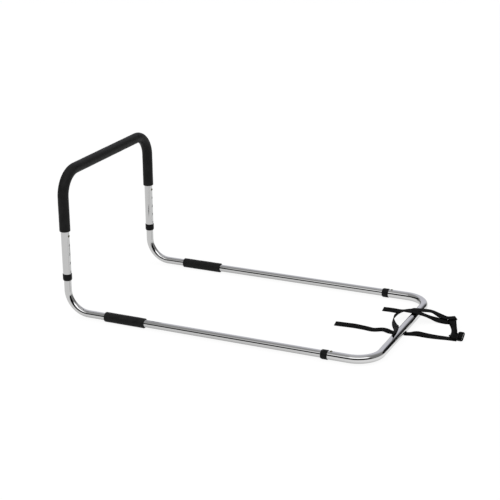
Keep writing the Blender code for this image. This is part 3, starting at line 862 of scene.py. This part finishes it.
def strap_run(rows, flip):
    """Centres, headings and sideways directions along the webbing between two folds."""
    steps = 8
    path = rounded_path([row[:3] for row in rows], 0.120, steps, 0.46)
    places, where, along = resampled(path, 0.002, 6)
    corners = ([0] + [1 + steps // 2 + (steps + 1) * index for index in range(len(rows) - 2)]
               + [len(path) - 1])
    rolls = np.radians(np.interp(where, along[corners], [row[3] for row in rows]))
    for _ in range(6):
        places[1:-1] = (places[:-2] + 2 * places[1:-1] + places[2:]) / 4
        rolls[1:-1] = (rolls[:-2] + 2 * rolls[1:-1] + rolls[2:]) / 4
    ahead = headings(places)
    level = np.cross((0, 0, 1), ahead)
    level /= np.linalg.norm(level, axis=1)[:, None]
    rise = np.cross(ahead, level)
    across = (level * np.cos(rolls)[:, None] + rise * np.sin(rolls)[:, None]) * flip
    return places, ahead, across


def fold_line(before, after):
    """The level direction of a flat fold between two headings."""
    before, after = (way * (1, 1, 0) / np.linalg.norm(way * (1, 1, 0)) for way in (before, after))
    line = before + after
    if np.linalg.norm(line) < 0.05:
        line = np.cross((0, 0, 1), before)
    return line / np.linalg.norm(line)


def slant(line, ahead, across, away):
    """How far each cross-section near a fold leans towards the fold's line."""
    lean = line.dot(ahead) / line.dot(across)
    reach = abs(lean) * STRAP_WIDTH / 2 * 1.02 + 1e-6
    reach = min(reach * 1.3, max(reach, away.max()))
    return lean * np.clip(1 - away / reach, 0, 1)


def strap_stations(runs):
    """Centre, sideways and upward direction of every cross-section, round the folds too."""
    lengths = [strap_run(rows, 1 - 2 * (index % 2)) for index, rows in enumerate(runs)]
    stations = []
    line = None
    for index, (places, ahead, across) in enumerate(lengths):
        slants = np.zeros(len(places))
        if line is not None:
            slants += slant(line, ahead[0], across[0],
                            np.linalg.norm(places - places[0], axis=1))
        line = None
        if index + 1 < len(lengths):
            line = fold_line(ahead[-1], lengths[index + 1][1][0])
            line = line * np.sign(line.dot(across[-1]))
            slants += slant(line, ahead[-1], across[-1],
                            np.linalg.norm(places - places[-1], axis=1))
        ups = np.cross(ahead, across)
        stations += list(zip(places, across + ahead * slants[:, None], ups))
        if line is None:
            continue
        gap = lengths[index + 1][0][0][2] - places[-1][2]
        out = ahead[-1] * (1, 1, 0)
        out = out - out.dot(line) * line
        out /= np.linalg.norm(out)
        for step in range(1, 8):
            turn = math.pi * step / 8
            centre = (places[-1] + out * abs(gap) / 2 * math.sin(turn)
                      + np.array((0, 0, gap / 2 * (1 - math.cos(turn)))))
            face = ups[-1] * math.cos(turn) - ups[-1][2] * np.sign(gap) * out * math.sin(turn)
            stations.append((centre, line / abs(line.dot(across[-1])), face))
    return stations


def strap_profile():
    """Half-thick webbing from edge to edge, a little thicker where its edges are bound."""
    half, thick = STRAP_WIDTH / 2, STRAP_T / 2
    top = [(half, 0.0), (half * 0.985, thick * 0.6), (half * 0.955, thick * 0.95),
           (half * 0.90, thick), (half * 0.84, thick * 0.86), (half * 0.5, thick * 0.9),
           (0.0, thick * 0.92)]
    top = top + [(-a, h) for a, h in reversed(top[:-1])]
    return top + [(a, -h) for a, h in reversed(top[1:-1])]


def ribbon(name, stations, profile, thinnest):
    """A strip through (centre, sideways, up) cross-sections that is thinner at its ends, with a
    UV map in metres, and its length."""
    around = [0.0]
    for (a, h), (b, k) in zip(profile, profile[1:] + profile[:1]):
        around.append(around[-1] + math.hypot(b - a, k - h))
    where = [0.0]
    for (here, _, _), (ahead, _, _) in zip(stations, stations[1:]):
        where.append(where[-1] + float(np.linalg.norm(ahead - here)))
    count = len(stations) - 1
    verts = []
    for index, (place, across, up) in enumerate(stations):
        thin = min(1.0, thinnest + min(index, count - index) * 0.3)
        for a, h in profile:
            verts.append(place + across * a + up * h * thin)
    size = len(profile)
    faces, uvs = [], []
    for ring in range(count):
        for index in range(size):
            after = (index + 1) % size
            faces.append((ring * size + index, ring * size + after, (ring + 1) * size + after,
                          (ring + 1) * size + index))
            low, high = around[index], around[index + 1]
            uvs += [(where[ring], low), (where[ring], high), (where[ring + 1], high),
                    (where[ring + 1], low)]
    for ring, order in ((0, -1), (count, 1)):
        faces.append(tuple(ring * size + index for index in range(size))[::order])
        uvs += [(where[ring], around[index]) for index in range(size)][::order]
    return uv_mesh(name, verts, faces, uvs, 50), where[-1]


def make_strap(name, node, stations, webbing):
    """Flat webbing with bound edges and sealed ends through its cross-sections."""
    stations = [(place + BASE, across, up) for place, across, up in stations]
    mesh, length = ribbon(name, stations, strap_profile(), 0.45)
    piece = add_piece(name, mesh, webbing)
    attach(piece, "loop")
    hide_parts(node)


BUCKLE_LENGTH = 0.0200
BUCKLE_HALF = 0.0160
BUCKLE_T = 0.0042
BUCKLE_BAR = 0.0034
SLOT_WIDTH = 0.0049
BUCKLE_PLACE = (Matrix.Translation(Vector((BAR_X + 0.1785, 0.0195, 0.0128)))
                @ Matrix.Rotation(math.radians(32), 4, "X"))
# The end of the webbing under the buckle's first bar, over its middle bar and back, as x and
# height from the buckle.
TAB_PATH = ((-0.0300, -0.0032), (-0.0170, -0.0034), (-0.0150, -0.0010), (-0.0138, 0.0022),
            (-0.0118, 0.0031), (-0.0082, 0.0031), (-0.0062, 0.0022), (-0.0050, -0.0014),
            (-0.0066, -0.0047), (-0.0100, -0.0054), (-0.0285, -0.0053))


def make_tab(webbing):
    """The webbing that holds the buckle's middle bar."""
    path = [BUCKLE_PLACE @ Vector((x, 0, height)) - Vector(BASE) for x, height in TAB_PATH]
    places, _, _ = resampled(rounded_path(path, 0.004, 4, 0.48), 0.0008)
    across = np.array(BUCKLE_PLACE.to_3x3() @ Vector((0, 1, 0)))
    stations = [(place, across, np.cross(way, across))
                for place, way in zip(places, headings(places))]
    make_strap("strap_tab", "anchor_strap", stations, webbing)


def outline(curve, low, high, radius, steps=8):
    """A rounded rectangle added to a flat curve."""
    (x0, y0), (x1, y1) = low, high
    points = []
    for cx, cy, start in ((x1 - radius, y1 - radius, 0), (x0 + radius, y1 - radius, 90),
                          (x0 + radius, y0 + radius, 180), (x1 - radius, y0 + radius, 270)):
        for step in range(steps + 1):
            angle = math.radians(start + 90 * step / steps)
            points.append((cx + radius * math.cos(angle), cy + radius * math.sin(angle)))
    spline = curve.splines.new("POLY")
    spline.points.add(len(points) - 1)
    for point, (x, y) in zip(spline.points, points):
        point.co = (x, y, 0, 1)
    spline.use_cyclic_u = True


def make_buckle(plastic):
    """A moulded three-bar slide with rounded edges, leaning on the strap."""
    edge = 0.0012
    curve = bpy.data.curves.new("slide_buckle", "CURVE")
    curve.dimensions = "2D"
    curve.fill_mode = "BOTH"
    curve.bevel_depth = edge
    curve.bevel_resolution = 4
    curve.extrude = BUCKLE_T / 2 - edge
    curve.offset = -edge
    outline(curve, (-BUCKLE_LENGTH, -BUCKLE_HALF), (0, BUCKLE_HALF), 0.0062)
    for slot in range(2):
        low = -BUCKLE_LENGTH + BUCKLE_BAR + slot * (SLOT_WIDTH + BUCKLE_BAR)
        outline(curve, (low, -BUCKLE_HALF + BUCKLE_BAR),
                (low + SLOT_WIDTH, BUCKLE_HALF - BUCKLE_BAR), 0.0015)
    guide = bpy.data.objects.new("outline", curve)
    bpy.context.scene.collection.objects.link(guide)
    bpy.context.view_layer.update()
    evaluated = guide.evaluated_get(bpy.context.evaluated_depsgraph_get())
    mesh = bpy.data.meshes.new_from_object(evaluated)
    bpy.data.objects.remove(guide, do_unlink=True)
    shape = bmesh.new()
    shape.from_mesh(mesh)
    bmesh.ops.remove_doubles(shape, verts=shape.verts, dist=0.00001)
    bmesh.ops.recalc_face_normals(shape, faces=shape.faces)
    bmesh.ops.transform(shape, verts=shape.verts, matrix=BUCKLE_PLACE)
    shape.to_mesh(mesh)
    shape.free()
    mesh.materials.clear()
    smooth(mesh)
    piece = add_piece("slide_buckle", mesh, plastic)
    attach(piece, "loop")
    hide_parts("strap_buckle")


def make_clip(name, node, place, out, ahead, steel):
    """A folded steel strip inside the tube. Its front leaf gives way with the button."""
    place, out, ahead = Vector(place), Vector(out), Vector(ahead)
    bore = (INNER_R - WALL) * FLAT
    front = (math.sqrt(bore ** 2 - BUTTON_FLANGE_R ** 2) - BUTTON_FLANGE_T - 2 * GAP
             - CLIP_T / 2)
    back = math.sqrt(bore ** 2 - (CLIP_WIDTH / 2) ** 2) - GAP - CLIP_T / 2
    route = ((-CLIP_PAD, front), (CLIP_PAD, front), (CLIP_LENGTH - 0.001, 0.001),
             (CLIP_LENGTH, 0.0), (CLIP_LENGTH - 0.001, -0.001), (CLIP_PAD, -back),
             (-CLIP_PAD, -back))
    path = rounded_path([place + ahead * x + out * z for x, z in route], 0.004, 5, 0.45)
    places, where, along = resampled(path, 0.0005)
    side = np.array(ahead.cross(out))
    stations = []
    for distance, centre, way in zip(where, places, headings(places)):
        end = max(0.0, 1 - min(distance, along[-1] - distance) / 0.003)
        stations.append((centre, side * max(0.3, math.sqrt(1 - end ** 2)), np.cross(way, side)))
    half, thick = CLIP_WIDTH / 2, CLIP_T / 2
    top = [(half, thick * 0.5), (half - thick * 0.5, thick), (0.0, thick),
           (thick * 0.5 - half, thick), (-half, thick * 0.5)]
    mesh, _ = ribbon(name, stations, top + [(a, -h) for a, h in reversed(top)], 0.7)
    piece = add_piece(name, mesh, steel)
    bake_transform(piece)
    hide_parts(node)


def make_clips(steel):
    for side, sign in SIDES:
        y = sign * HALF
        make_clip(f"leg_spring_{side}", f"leg_clip_{side}", (HANDLE_X, y, RAIL_Z + LEG_BUTTON),
                  (1, 0, 0), (0, 0, -1), steel)
        make_clip(f"base_spring_{side}", f"base_clip_{side}", (HANDLE_X + LOOP_BUTTON, y, RAIL_Z),
                  (0, 0, 1), (-1, 0, 0), steel)


def main():
    make_camera()
    make_studio()
    chrome = make_chrome()
    foam = make_foam("foam_skin", 0.0058, 0.01)
    plastic = make_plastic()
    button_metal = make_metal("button_plate", (0.13, 0.13, 0.085), (0.20, 0.20, 0.135), 0.30)
    steel = make_metal("spring_plate", (0.38, 0.38, 0.39), (0.48, 0.48, 0.49), 0.35)
    webbing = make_webbing()
    make_rails(chrome)
    make_handle(chrome)
    make_loop(chrome)
    make_grip(foam)
    make_sleeves(foam)
    make_collars(plastic)
    make_buttons(button_metal)
    make_strap("strap_main", "anchor_strap", strap_stations(MAIN_RUNS), webbing)
    make_strap("strap_band", "bar_strap", strap_stations(BAND_RUNS), webbing)
    make_buckle(plastic)
    make_tab(webbing)
    make_clips(steel)


main()
